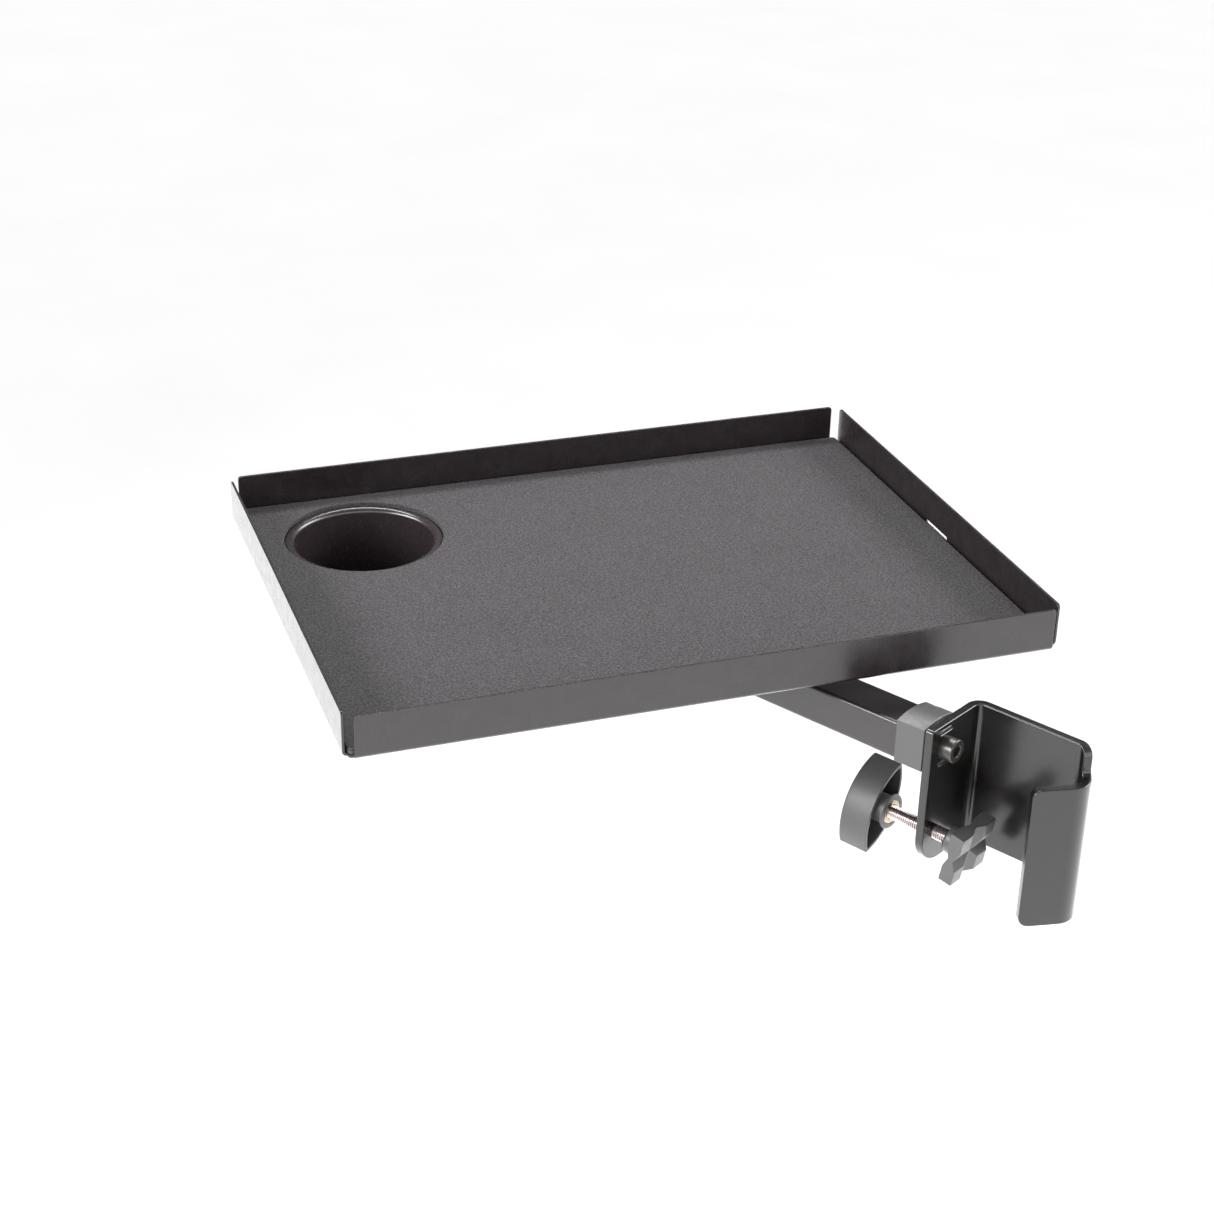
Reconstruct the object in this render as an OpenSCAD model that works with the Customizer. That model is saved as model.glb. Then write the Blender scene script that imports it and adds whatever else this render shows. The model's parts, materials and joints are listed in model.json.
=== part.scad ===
// Clamp-on tray with a cup well.
// A folded sheet-metal tray turns on a rectangular arm, and a bent steel hook with a wing-knob
// screw clamps the arm to an upright tube. Sizes are in millimetres.
//
// Two working frames are used. The arm frame has its origin on the swivel axis, level with the
// tray's underside, with X along the arm to the clamp, Y to its left and Z up. The tray frame
// has the same origin, with X along the tray's long side and Y to the back. The part's own frame
// has its origin on the axis of the hook's inner bend, and its axes are those of the tray at rest.

/* [Tray] */
// Long side, outside
tray_w = 400; // [300:5:500]
// Short side, outside
tray_d = 300; // [240:5:400]
// Height of the folded flanges, outside
tray_h = 25; // [15:1:40]
// Thickness of the tray's sheet
sheet_t = 1.5; // [1:0.1:2.5]
// Inside radius of the fold at the foot of a flange
fold_r = 1; // [0.5:0.5:2.5]
// How far each flange stops short of the corner
corner_gap = 5.2; // [3:0.1:10]
// Radius of a flange's top corners
flange_corner_r = 2; // [1:0.5:5]
// Thickness of the mat
mat_t = 3; // [2:0.5:4]
// Length of the slot at the foot of the right flange
slot_l = 28; // [15:1:40]
// Height of that slot
slot_h = 2.5; // [2:0.5:4]

/* [Cup well] */
// Centre of the well, from the tray's left side
cup_x = 68; // [60:1:120]
// Centre of the well, from the tray's back side
cup_y = 60; // [58:1:100]
// Inside diameter of the mouth
cup_d = 82; // [70:1:90]
// Depth below the tray's underside
cup_depth = 58; // [30:1:80]
// Wall of the well
cup_t = 1.8; // [1.5:0.1:3]

/* [Arm] */
// Swivel axis to the hook's mounting plate
arm_l = 218.6; // [215:0.2:260]
// Width of the tube
arm_w = 25; // [20:1:30]
// Height of the tube
arm_h = 22; // [20:1:30]
// Wall of the tube
arm_t = 2; // [1.5:0.5:3]
// Gap between the tray and the tube
arm_gap = 9.3; // [9.3:0.1:12]
// Heading of the arm under the tray, in degrees
arm_yaw = -60.8; // [-80:0.1:-40]
// Length of the collar on the tube's outer end
collar_l = 17.4; // [12:0.2:20]

/* [Hook] */
// Thickness of the hook's plate
plate_t = 5; // [4:0.5:6]
// Height of the plate
plate_h = 84; // [78:1:100]
// Plate's top edge below the tray's underside
plate_drop = 6.4; // [5:0.1:8]
// Inside radius of the fold between mounting plate and side plate
side_r = 3.5; // [2:0.5:5]
// Distance from the arm's centre line to the side plate
side_y = 30.3; // [28:0.1:36]
// Inside radius of the hook's fold
jaw_r = 7.5; // [6:0.5:10]
// Distance from the mounting plate's inner face to the hook's fold axis
jaw_reach = 60.7; // [50:0.1:80]
// How far the hook's fold turns the plate, in degrees
jaw_turn = 129.3; // [120:0.1:140]
// Flat length of the jaw after the fold
jaw_l = 22; // [15:0.5:30]
// How much lower the jaw sits than the side plate
jaw_drop = 16.2; // [8:0.2:24]

/* [Clamping screw] */
// Outside diameter of the spindle's thread
spindle_d = 8; // [8:2:10]
// Spindle axis below the tray's underside
spindle_drop = 73; // [68:0.5:74]
// Half length of the wing knob
knob_reach = 26; // [20:0.5:26]
// Half width of the wing knob
knob_half_w = 12; // [10:0.5:14]
// Depth of the wing knob along the spindle
knob_depth = 18.4; // [12:0.2:22]
// Side of the square pressure pad
pad_side = 31; // [24:0.5:34]
// Droop of the pad on its ball, in degrees
pad_tilt = 10.4; // [0:0.2:14]

/* [Hidden] */
$fn = 96;
through = 0.5; // how far a cutter runs past a face
run_gap = 0.05; // radial clearance of a running fit
join = 1; // how far the jaw runs into the fold, so that they join

// Tray
fold_out = fold_r + sheet_t;
floor_corner_r = 2;
mat_inset = fold_out + 0.2;
mat_corner_r = 3;
slot_up = 1.2; // foot of the slot above the floor
cup_at = [cup_x - tray_w / 2, tray_d / 2 - cup_y];
cup_rim_r = cup_d / 2 + 5;
cup_rim_t = 1.1;
cup_rim_round = 3; // rounding from the rim into the well
cup_hole_r = cup_d / 2 + 2;
cup_neck = 0.2; // how much thicker the wall is at the rim than at the sheet
cup_taper = 4.5; // how much narrower the foot of the well is, on the radius
mat_hole_r = cup_rim_r + 1;

// Swivel
pivot_r = 4;
pivot_gap = 0.1; // radial clearance of plate, disc and washer around the bolt
swivel_flange_r = 46;
swivel_dish_r = 25;
swivel_t = 2;
bush_flange_t = 1;
bush_r = 6;
bush_flange_r = 12;
bush_l = 4;
disc_t = 1.5;
dish_drop = arm_gap - bush_flange_t - disc_t; // underside of the dish
stud_r = 2.5;
stud_ring_r = 37;
stud_l = 8;
stud_gap = 0.3;
plate_nut_af = 8;
plate_nut_h = 4.7;
plate_nut_flange_r = 5.9;
plate_nut_flange_t = 1;
arm_foot = arm_gap + arm_h; // underside of the tube
washer_z = arm_foot + bush_flange_t;
washer_t = 1.6;
washer_r = 12;
spring_t = 0.9;
spring_h = 1.2;
spring_r = 9;
spring_gap = 0.2;
lock_nut_z = washer_z + washer_t + 2 * spring_h;
lock_nut_h = 6.5;
lock_ring_h = 1.5;
lock_ring_r = 6;
pivot_tip = lock_nut_z + lock_nut_h + lock_ring_h + 2;
m8_af = 13;
head_gap = 0.2; // bolt head below the tray

// Arm
arm_back = 22; // length of the tube behind the swivel axis
arm_corner_r = 2;
arm_mid = arm_gap + arm_h / 2;
cap_t = 2;
cap_l = 8; // how far the cap reaches into the tube
collar_end_t = 2;
collar_side = 0.6;
collar_over = 2.1;
collar_under = 1.1;
collar_crown = 2;
collar_step = 0.3;
collar_step_x = 8.3; // where the step lies, from the collar's start
collar_fit = 0.05;
tube_end = arm_l - collar_end_t;
plug_l = 20;
bolt_z = -arm_mid + 0.3;
bolt_r = 4;
bolt_gap = 0.25;
bolt_in = 25; // how far the clamp bolt reaches behind the plate
bolt_head_r = 6.5;
bolt_head_h = 8;
bolt_chamfer = 0.8;
bolt_socket_af = 6;
bolt_socket_depth = 4.6;
tab_w = 10.6;
tab_h = 2.2;
tab_y = 1;
tab_up = 9.5; // tabs above and below the bolt
tab_back = 0.5; // how far the tabs stop short of the plate's inner face
tab_gap = 0.2;

// Hook
plate_in = arm_l + plate_t; // inner face of the mounting plate
plate_front = -arm_w / 2 - 0.1;
plate_top = -plate_drop;
plate_foot = plate_top - plate_h;
jaw_top = plate_top - jaw_drop;
jaw_foot = plate_foot - jaw_drop;
jaw_x = plate_in + jaw_reach;
jaw_y = side_y - jaw_r;
jaw_z = (jaw_top + plate_foot) / 2;
step_turn = 40.7; // where the step down to the jaw lies in the fold
step_out_r = 6; // the step's outer corners
step_skew = 6; // how far the step's edge leans in the fold
step_lap = 5; // half width of the strip that joins the two plates
front_foot_r = 16.5;
front_top_r = 2;
jaw_top_r = 4;
jaw_foot_r = 6;

// Clamping screw
spindle_z = -spindle_drop;
spindle_r = spindle_d / 2;
knob_rim = arm_l - 28.9; // the knob's open side
knob_back = knob_rim - knob_depth;
knob_wall = 2;
knob_tip_wall = 3.6;
knob_floor = 2.5;
bore_floor = 3; // closed end of the hub around the spindle
hub_inset = 1;
knob_turn = 58; // long axis of the knob, from the arm's left towards up
hub_r = 8;
hub_end = knob_rim + 5.2;
hub_flange_r = 10;
hub_flange_t = 1.5;
knob_nut_h = 6.5;
knob_nut_proud = 0.3;
ball_x = plate_in + 12.4;
ball_r = 5;
ball_half = 3;
journal_r = 2.5;
journal_end = ball_x + 4.2;
pad_washer_t = 0.7;
pad_washer_r = 3.6;
clip_t = 0.7;
clip_r = 3.5;
clip_mouth = 3;
pad_face = 11.8; // ball centre to the pad's face
pad_back = 3.7;
pad_corner_r = 0.6;
pad_boss_r = 8;
pad_boss_back = -3.9;
pad_roll = 0.5; // the pad's turn about its own axis
groove_w = 12.4;
groove_d = 2.8;
back_groove_d = 2;
clip_room_r = 4.5;
clip_room = [2, 5]; // room for the clip, from the ball's centre
pad_mouth_r = 6; // mouth of the socket, narrowing to the ball
pad_throat_r = 4.7;
pad_mouth_l = 2.1;
skin = 0.01;

// ---- frames ----

module on_arm() {
    rotate([0, 0, arm_yaw])
        translate([-jaw_x, -jaw_y, -jaw_z])
            children();
}

module on_tray() {
    on_arm() rotate([0, 0, -arm_yaw]) children();
}

// ---- shared shapes ----

// Cylinder along X, from x0 to x1
module rod_x(r, x0, x1) {
    translate([x0, 0, 0])
        rotate([0, 90, 0])
            cylinder(r = r, h = x1 - x0);
}

// Hexagonal prism along X with its corners up and down
module hex_x(af, x0, x1) {
    translate([x0, 0, 0])
        rotate([0, 90, 0])
            cylinder(d = af / cos(30), h = x1 - x0, $fn = 6);
}

// Flat ring that hangs down from z_top
module ring(r_out, r_in, z_top, h) {
    translate([0, 0, z_top - h])
        difference() {
            cylinder(r = r_out, h = h);
            translate([0, 0, -through]) cylinder(r = r_in, h = h + 2 * through);
        }
}

// Rectangle about the origin with round corners
module round_rect(size, r) {
    for (sx = [-1, 1], sy = [-1, 1])
        translate([sx * (size[0] / 2 - r), sy * (size[1] / 2 - r)]) circle(r = r);
    square([size[0] - 2 * r, size[1]], center = true);
    square([size[0], size[1] - 2 * r], center = true);
}

// Slot outline about the origin, length along X
module slot(l, h) {
    square([l - h, h], center = true);
    for (s = [-1, 1]) translate([s * (l - h) / 2, 0]) circle(d = h);
}

// ---- tray ----

// Section of a flange: fold at the foot, wall above it, outer face at x = 0
module flange_section() {
    translate([0, fold_out]) square([sheet_t, tray_h - fold_out]);
    translate([fold_out, fold_out])
        intersection() {
            difference() {
                circle(r = fold_out);
                circle(r = fold_r);
            }
            translate([-fold_out, -fold_out]) square(fold_out);
        }
}

// Flange of length l along -Y, standing on the XY plane
module flange(l) {
    intersection() {
        rotate([90, 0, 0]) linear_extrude(l) flange_section();
        rotate([90, 0, -90])
            linear_extrude(3 * fold_out, center = true) {
                square([l, tray_h - flange_corner_r]);
                translate([flange_corner_r, 0]) square([l - 2 * flange_corner_r, tray_h]);
                for (x = [flange_corner_r, l - flange_corner_r])
                    translate([x, tray_h - flange_corner_r]) circle(r = flange_corner_r);
            }
    }
}

module tray_pan() color("#26272a") on_tray() {
    long_l = tray_w - 2 * corner_gap;
    short_l = tray_d - 2 * corner_gap;
    difference() {
        union() {
            linear_extrude(sheet_t)
                round_rect([tray_w - 2 * fold_out, tray_d - 2 * fold_out], floor_corner_r);
            for (side = [0, 1]) {
                rotate([0, 0, 180 * side])
                    translate([-tray_w / 2, short_l / 2, 0]) flange(short_l);
                rotate([0, 0, 90 + 180 * side])
                    translate([-tray_d / 2, long_l / 2, 0]) flange(long_l);
            }
        }
        translate([cup_at[0], cup_at[1], -through]) cylinder(r = cup_hole_r, h = 2 * fold_out);
        translate([tray_w / 2 - fold_out, 0, sheet_t + slot_up + slot_h / 2])
            rotate([90, 0, 90]) linear_extrude(2 * fold_out) slot(slot_l, slot_h);
    }
}

module tray_mat() color("#55565a") on_tray()
    translate([0, 0, sheet_t])
        linear_extrude(mat_t)
            difference() {
                round_rect([tray_w - 2 * mat_inset, tray_d - 2 * mat_inset], mat_corner_r);
                translate(cup_at) circle(r = mat_hole_r);
            }

// Half section of the cup well, tray underside at y = 0
module cup_section() {
    mouth_r = cup_d / 2;
    foot_r = mouth_r - cup_taper;
    rim_top = sheet_t + cup_rim_t;
    round_z = rim_top - cup_rim_round;
    difference() {
        union() {
            translate([mouth_r, sheet_t]) square([cup_rim_r - mouth_r, cup_rim_t]);
            polygon([
                [0, -cup_depth], [foot_r, -cup_depth],
                [mouth_r + cup_t - cup_neck, sheet_t], [mouth_r + cup_t, rim_top], [0, rim_top]
            ]);
        }
        difference() {
            polygon([
                [-through, -cup_depth + cup_t], [foot_r - cup_t, -cup_depth + cup_t],
                [mouth_r, round_z], [mouth_r + cup_rim_round, round_z],
                [mouth_r + cup_rim_round, rim_top + through], [-through, rim_top + through]
            ]);
            translate([mouth_r + cup_rim_round, round_z]) circle(r = cup_rim_round);
        }
        translate([-tray_w, -tray_w]) square([tray_w, 2 * tray_w]);
    }
}

module cup_insert() color("#17171a") on_tray()
    translate(cup_at) rotate_extrude() cup_section();

// ---- swivel ----

module at_studs() {
    for (a = [45:90:315]) rotate([0, 0, a]) translate([stud_ring_r, 0, 0]) children();
}

module swivel_plate() color("#202124") on_tray()
    difference() {
        union() {
            ring(swivel_flange_r, swivel_dish_r - swivel_t, 0, swivel_t);
            ring(swivel_dish_r, swivel_dish_r - swivel_t, 0, dish_drop);
            ring(swivel_dish_r, pivot_r + pivot_gap, swivel_t - dish_drop, swivel_t);
        }
        at_studs() translate([0, 0, -2 * swivel_t]) cylinder(r = stud_r + stud_gap, h = 3 * swivel_t);
    }

module plate_studs() color("#b9bcc0") on_tray()
    at_studs() translate([0, 0, -stud_l]) cylinder(r = stud_r, h = stud_l);

module plate_nuts() color("#b9bcc0") on_tray()
    at_studs() difference() {
        union() {
            translate([0, 0, -swivel_t - plate_nut_h])
                cylinder(d = plate_nut_af / cos(30), h = plate_nut_h, $fn = 6);
            translate([0, 0, -swivel_t - plate_nut_flange_t])
                cylinder(r = plate_nut_flange_r, h = plate_nut_flange_t);
        }
        translate([0, 0, -stud_l]) cylinder(r = stud_r, h = stud_l);
    }

module pivot_bolt() color("#b9bcc0") on_tray() {
    head_z = swivel_t - dish_drop;
    translate([0, 0, head_z])
        cylinder(d = m8_af / cos(30), h = -head_z - head_gap, $fn = 6);
    translate([0, 0, -pivot_tip]) cylinder(r = pivot_r, h = pivot_tip + head_z);
}

module friction_disc() color("#e6e4dc") on_tray()
    ring(swivel_dish_r - 1, pivot_r + pivot_gap, -dish_drop, disc_t);

module thrust_washer() color("#b9bcc0") on_tray()
    ring(washer_r, pivot_r + pivot_gap, -washer_z, washer_t);

// Disc spring with its wide edge at the bottom, top at z = 0
module disc_spring() {
    rotate_extrude()
        polygon([
            [pivot_r + spring_gap, 0], [spring_r, spring_t - spring_h], [spring_r, -spring_h],
            [pivot_r + spring_gap, -spring_t]
        ]);
}

module disc_springs() color("#4a4c50") on_tray()
    translate([0, 0, -washer_z - washer_t]) {
        translate([0, 0, -2 * spring_h]) mirror([0, 0, 1]) disc_spring();
        disc_spring();
    }

module lock_nut() color("#b9bcc0") on_tray()
    translate([0, 0, -lock_nut_z - lock_nut_h])
        difference() {
            cylinder(d = m8_af / cos(30), h = lock_nut_h, $fn = 6);
            translate([0, 0, -through]) cylinder(r = pivot_r, h = lock_nut_h + 2 * through);
        }

module lock_ring() color("#2a4fa0") on_tray()
    ring(lock_ring_r, pivot_r, -lock_nut_z - lock_nut_h, lock_ring_h);

// ---- arm ----

module arm_tube() color("#2b2c2f") on_arm()
    difference() {
        translate([-arm_back, 0, -arm_mid])
            rotate([90, 0, 90])
                linear_extrude(tube_end + arm_back)
                    difference() {
                        round_rect([arm_w, arm_h], arm_corner_r);
                        square([arm_w - 2 * arm_t, arm_h - 2 * arm_t], center = true);
                    }
        translate([0, 0, -arm_foot - through]) cylinder(r = bush_r, h = arm_h + 2 * through);
    }

module tube_cap() color("#17171a") on_arm()
    translate([-arm_back, 0, -arm_mid])
        rotate([90, 0, 90]) {
            translate([0, 0, -cap_t])
                linear_extrude(cap_t) round_rect([arm_w, arm_h], arm_corner_r);
            linear_extrude(cap_l) square([arm_w - 2 * arm_t, arm_h - 2 * arm_t], center = true);
        }

module pivot_bushes() color("#e6e4dc") on_arm() {
    bore = pivot_r + run_gap;
    ring(bush_flange_r, bore, -arm_gap + bush_flange_t, bush_flange_t);
    ring(bush_r, bore, -arm_gap, bush_l);
    ring(bush_flange_r, bore, -arm_foot, bush_flange_t);
    ring(bush_r, bore, -arm_foot + bush_l, bush_l);
}

module arm_end_plug() color("#8d9094") on_arm()
    difference() {
        translate([tube_end - plug_l, 0, -arm_mid])
            rotate([90, 0, 90])
                linear_extrude(plug_l) square([arm_w - 2 * arm_t, arm_h - 2 * arm_t], center = true);
        translate([0, 0, bolt_z]) rod_x(bolt_r, tube_end - plug_l - through, tube_end + through);
    }

// Outline of the collar in the YZ plane, grown by step on its crowned top
module collar_outline(step) {
    half_w = arm_w / 2 + collar_side;
    low = -arm_foot - collar_under;
    shoulder = -arm_gap + collar_over + step;
    crown_r = (half_w * half_w + collar_crown * collar_crown) / (2 * collar_crown);
    translate([-half_w, low]) square([2 * half_w, shoulder - low]);
    intersection() {
        translate([0, shoulder + collar_crown - crown_r]) circle(r = crown_r);
        translate([-half_w, shoulder - 1]) square([2 * half_w, 1 + collar_crown]);
    }
}

module arm_collar() color("#5a5c5f") on_arm() {
    start = arm_l - collar_l;
    step_x = start + collar_step_x;
    difference() {
        rotate([90, 0, 90]) {
            translate([0, 0, start]) linear_extrude(step_x - start) collar_outline(0);
            translate([0, 0, step_x]) linear_extrude(arm_l - step_x) collar_outline(collar_step);
        }
        translate([start - through, 0, -arm_mid])
            rotate([90, 0, 90])
                linear_extrude(tube_end - start + through)
                    round_rect([arm_w + 2 * collar_fit, arm_h + 2 * collar_fit], arm_corner_r);
        translate([0, 0, bolt_z]) rod_x(bolt_r + bolt_gap, start, arm_l + through);
    }
    for (s = [-1, 1])
        translate([arm_l, tab_y - tab_w / 2, bolt_z + s * tab_up - tab_h / 2])
            cube([plate_t - tab_back, tab_w, tab_h]);
}

module clamp_bolt() color("#3a3b3e") on_arm() {
    head_end = plate_in + bolt_head_h;
    translate([0, 0, bolt_z])
        difference() {
            union() {
                rod_x(bolt_r, plate_in - bolt_in, plate_in);
                rod_x(bolt_head_r, plate_in, head_end - bolt_chamfer);
                translate([head_end - bolt_chamfer, 0, 0])
                    rotate([0, 90, 0])
                        cylinder(r1 = bolt_head_r, r2 = bolt_head_r - bolt_chamfer, h = bolt_chamfer);
            }
            hex_x(bolt_socket_af, head_end - bolt_socket_depth, head_end + through);
        }
}

// ---- hook ----

// Point on the hook's fold, at radius r where the plate has turned by a
function fold_point(r, a) = r * [sin(a), cos(a)];

// Sector of the hook's fold, from turn a0 to turn a1, between radii jaw_r and jaw_r + plate_t.
// A skew leans the end, so that the inner face runs on past a1 and the outer one stops short.
module fold_sector(a0, a1, skew = 0) {
    far = 4 * (jaw_r + plate_t);
    intersection() {
        difference() {
            circle(r = jaw_r + plate_t);
            circle(r = jaw_r);
        }
        polygon([
            [0, 0], fold_point(far, a0), fold_point(far, (a0 + a1) / 2),
            fold_point(far, a1 - 2 * skew), fold_point(0.9 * jaw_r, a1 + skew)
        ]);
    }
}

// Plan of mounting plate, side plate and the start of the fold
module side_plan() {
    translate([arm_l, plate_front]) square([plate_t, side_y - side_r - plate_front]);
    translate([plate_in + side_r, side_y]) square([jaw_x - plate_in - side_r, plate_t]);
    translate([plate_in + side_r, side_y - side_r])
        intersection() {
            difference() {
                circle(r = side_r + plate_t);
                circle(r = side_r);
            }
            translate([-side_r - plate_t, 0]) square(side_r + plate_t);
        }
    translate([jaw_x, jaw_y]) fold_sector(0, step_turn);
}

// Plan of the rest of the fold and the jaw
module jaw_plan() {
    translate([jaw_x, jaw_y]) {
        fold_sector(step_turn, jaw_turn, step_skew);
        rotate(-jaw_turn) translate([-join, jaw_r]) square([jaw_l + join, plate_t]);
    }
}

// What a radius r cuts off a square corner at the origin, for a plate from -y_over to
// plate_t + y_over in Y. sx and sz point from the corner into the plate.
module corner_cut(r, sx, sz, y_over = through) {
    rotate([90, 0, 0])
        translate([0, 0, -plate_t - y_over])
            linear_extrude(plate_t + 2 * y_over)
                scale([sx, sz])
                    difference() {
                        translate([-through, -through]) square(r + through);
                        translate([r, r]) circle(r = r);
                    }
}

// Frame on the fold's inner face where the plate has turned by a, X along the plate
module on_fold(a, along, z) {
    translate([jaw_x, jaw_y, z]) rotate([0, 0, -a]) translate([along, jaw_r, 0]) children();
}

module bracket_plates() {
    translate([0, 0, plate_foot]) linear_extrude(plate_h) side_plan();
    translate([0, 0, jaw_foot]) linear_extrude(plate_h) jaw_plan();
    translate([jaw_x, jaw_y, plate_foot])
        linear_extrude(jaw_top - plate_foot) fold_sector(step_turn - step_lap, step_turn + step_lap);
}

module clamp_bracket() color("#1b1b1e") on_arm()
    difference() {
        bracket_plates();
        // front corners of the mounting plate
        translate([arm_l, plate_front, plate_foot])
            rotate([0, 0, 90]) mirror([0, 1, 0]) corner_cut(front_foot_r, 1, 1);
        translate([arm_l, plate_front, plate_top])
            rotate([0, 0, 90]) mirror([0, 1, 0]) corner_cut(front_top_r, 1, -1);
        // free corners of the jaw, and the step's outer corners
        on_fold(jaw_turn, jaw_l, jaw_top) corner_cut(jaw_top_r, -1, -1);
        on_fold(jaw_turn, jaw_l, jaw_foot) corner_cut(jaw_foot_r, -1, 1);
        on_fold(step_turn, 0, plate_top) corner_cut(step_out_r, -1, -1, jaw_r);
        on_fold(step_turn, 0, jaw_foot) corner_cut(step_out_r, 1, 1, jaw_r);
        // clamp bolt, the collar's tabs and the spindle's thread
        translate([0, 0, bolt_z]) rod_x(bolt_r + bolt_gap, arm_l - through, plate_in + through);
        for (s = [-1, 1])
            translate([
                arm_l - through, tab_y - tab_w / 2 - tab_gap, bolt_z + s * tab_up - tab_h / 2 - tab_gap
            ])
                cube([plate_t + 2 * through, tab_w + 2 * tab_gap, tab_h + 2 * tab_gap]);
        translate([0, 0, spindle_z]) rod_x(spindle_r + run_gap, arm_l - through, plate_in + through);
    }

// ---- clamping screw ----

module on_spindle() {
    on_arm() translate([0, 0, spindle_z]) children();
}

module spindle() color("#c9c0be") on_spindle() {
    shoulder = ball_x - ball_half - pad_washer_t;
    rod_x(spindle_r, knob_back + bore_floor, shoulder);
    rod_x(journal_r, shoulder, journal_end);
}

// Lens outline about the origin: half length a, half width b, with pointed ends
module lens(a, b) {
    r = (a * a + b * b) / (2 * b);
    intersection_for (s = [-1, 1]) translate([0, s * (r - b)]) circle(r = r);
}

module wing_knob() color("#3d3e41") on_spindle()
    difference() {
        union() {
            rotate([knob_turn, 0, 0])
                difference() {
                    translate([knob_back, 0, 0])
                        rotate([90, 0, 90]) linear_extrude(knob_depth) lens(knob_reach, knob_half_w);
                    translate([knob_back + knob_floor, 0, 0])
                        rotate([90, 0, 90])
                            linear_extrude(knob_depth)
                                lens(knob_reach - knob_tip_wall, knob_half_w - knob_wall);
                }
            rod_x(hub_r, knob_back + hub_inset, hub_end);
            rod_x(hub_flange_r, hub_end - hub_flange_t, hub_end);
        }
        rod_x(spindle_r, knob_back + bore_floor, hub_end + through);
        hex_x(m8_af, hub_end - knob_nut_h, hub_end + through);
    }

module knob_nut() color("#c9b27a") on_spindle()
    difference() {
        hex_x(m8_af, hub_end - knob_nut_h, hub_end + knob_nut_proud);
        rod_x(spindle_r, hub_end - knob_nut_h - through, hub_end + 1);
    }

module pad_washer() color("#b9bcc0") on_spindle()
    difference() {
        rod_x(pad_washer_r, ball_x - ball_half - pad_washer_t, ball_x - ball_half);
        rod_x(journal_r + run_gap, ball_x - 2 * ball_half, ball_x);
    }

module pad_ball() color("#e6e4dc") on_spindle()
    difference() {
        intersection() {
            translate([ball_x, 0, 0]) sphere(r = ball_r);
            rod_x(ball_r + 1, ball_x - ball_half, ball_x + ball_half);
        }
        rod_x(journal_r + run_gap, ball_x - 2 * ball_half, ball_x + 2 * ball_half);
    }

module pad_clip() color("#3a3b3e") on_spindle()
    difference() {
        rod_x(clip_r, ball_x + ball_half, ball_x + ball_half + clip_t);
        rod_x(journal_r, ball_x, ball_x + 2 * ball_half);
        translate([ball_x, -clip_mouth / 2, -2 * clip_r])
            cube([2 * ball_half, clip_mouth, 2 * clip_r]);
    }

// V-grooves of depth d that cross on a face at x = 0, cut towards -X
module v_grooves(d) {
    for (turn = [0, 90])
        rotate([turn, 0, 0])
            translate([0, 0, -pad_side])
                linear_extrude(2 * pad_side)
                    polygon([[through, -groove_w / 2], [0, -groove_w / 2], [-d, 0],
                             [0, groove_w / 2], [through, groove_w / 2]]);
}

module pressure_pad() color("#4b4d4f") on_spindle()
    translate([ball_x, 0, 0])
        rotate([0, pad_tilt, 0])
            rotate([pad_roll, 0, 0])
                difference() {
                    union() {
                        difference() {
                            translate([pad_back, 0, 0])
                                rotate([90, 0, 90])
                                    linear_extrude(pad_face - pad_back)
                                        round_rect([pad_side, pad_side], pad_corner_r);
                            translate([pad_back, 0, 0]) mirror([1, 0, 0]) v_grooves(back_groove_d);
                        }
                        rod_x(pad_boss_r, pad_boss_back, pad_back + back_groove_d);
                    }
                    translate([pad_face, 0, 0]) v_grooves(groove_d);
                    sphere(r = ball_r + run_gap);
                    rod_x(clip_room_r, clip_room[0], clip_room[1]);
                    translate([pad_boss_back - skin, 0, 0])
                        rotate([0, 90, 0])
                            cylinder(r1 = pad_mouth_r, r2 = pad_throat_r, h = pad_mouth_l + skin);
                }

tray_pan();
tray_mat();
cup_insert();
swivel_plate();
plate_studs();
plate_nuts();
pivot_bolt();
friction_disc();
thrust_washer();
disc_springs();
lock_nut();
lock_ring();
arm_tube();
tube_cap();
pivot_bushes();
arm_end_plug();
arm_collar();
clamp_bracket();
clamp_bolt();
spindle();
wing_knob();
knob_nut();
pad_washer();
pad_ball();
pad_clip();
pressure_pad();
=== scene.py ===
"""Clamp-on tray with a cup well: a folded steel tray on a swivelling arm, held to an upright tube
by a bent hook and a wing screw. Pieces are made in millimetres in a working frame and then put
into the part's own frame, in metres."""
import json
import math

import bmesh
import bpy
from mathutils import Matrix, Vector


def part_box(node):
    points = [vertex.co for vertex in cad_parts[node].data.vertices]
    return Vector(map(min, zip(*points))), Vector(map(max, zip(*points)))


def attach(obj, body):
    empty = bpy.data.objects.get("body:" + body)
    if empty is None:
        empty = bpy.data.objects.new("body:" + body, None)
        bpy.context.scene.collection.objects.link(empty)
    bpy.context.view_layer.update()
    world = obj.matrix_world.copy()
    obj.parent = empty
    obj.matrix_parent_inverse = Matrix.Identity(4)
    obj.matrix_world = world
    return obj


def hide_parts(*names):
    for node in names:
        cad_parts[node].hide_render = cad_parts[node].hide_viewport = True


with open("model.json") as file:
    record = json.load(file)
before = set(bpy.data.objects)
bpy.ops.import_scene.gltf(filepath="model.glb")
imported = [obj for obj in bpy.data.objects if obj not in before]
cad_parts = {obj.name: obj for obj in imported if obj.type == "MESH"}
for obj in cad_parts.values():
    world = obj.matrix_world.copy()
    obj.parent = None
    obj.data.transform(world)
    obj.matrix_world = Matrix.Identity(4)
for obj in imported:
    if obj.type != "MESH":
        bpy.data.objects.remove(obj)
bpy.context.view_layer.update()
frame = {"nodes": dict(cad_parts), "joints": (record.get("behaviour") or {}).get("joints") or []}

# ---------------------------------------------------------------- working frames

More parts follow.
